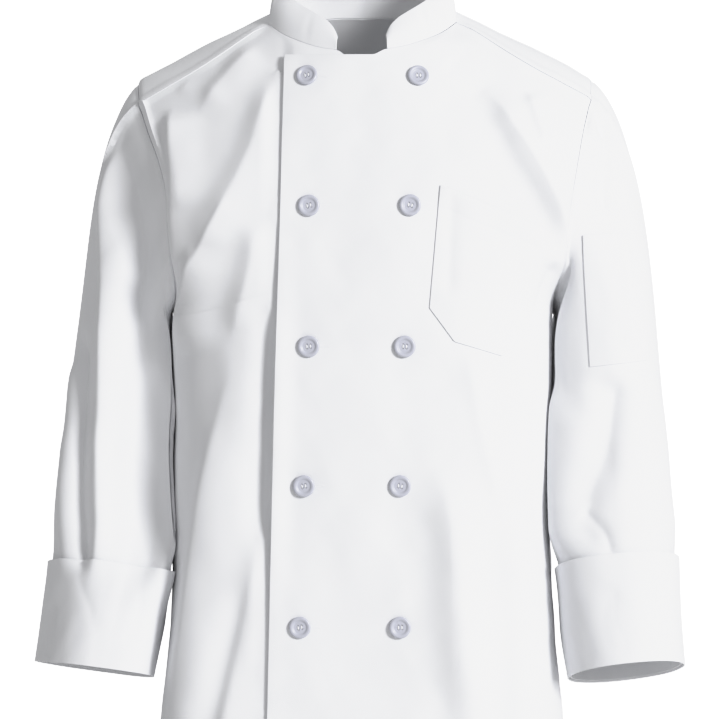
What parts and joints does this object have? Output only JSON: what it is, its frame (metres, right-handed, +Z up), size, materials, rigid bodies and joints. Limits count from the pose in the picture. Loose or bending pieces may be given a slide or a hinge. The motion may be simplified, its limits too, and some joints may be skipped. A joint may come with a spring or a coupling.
{
  "type": "chef jacket",
  "caption": "Double-breasted chef jacket in its worn form: hollow body, stand collar, long set-in sleeves with turned-back cuffs, chest and sleeve patch pockets.",
  "frame": {"origin": "middle of the neck, level with the points where the shoulders meet it, where the wearer carries the jacket", "axes": "+Z up, -Y the front, +X the wearer's left"},
  "size_m": [0.6393, 0.2664, 0.8014],
  "materials": {
    "twill": "white poly-cotton twill, soft matt with a faint sheen",
    "button": "pale grey moulded button, satin"
  },
  "bodies": {
    "root": {"front_left": "twill", "front_right": "twill", "back": "twill", "sleeve_left": "twill", "sleeve_right": "twill", "cuff_left": "twill", "cuff_right": "twill", "collar": "twill", "chest_pocket": "twill", "sleeve_pocket": "twill", "button_1": "button", "button_2": "button", "button_3": "button", "button_4": "button", "button_5": "button", "button_6": "button", "button_7": "button", "button_8": "button", "button_9": "button", "button_10": "button"}
  },
  "joints": []
}
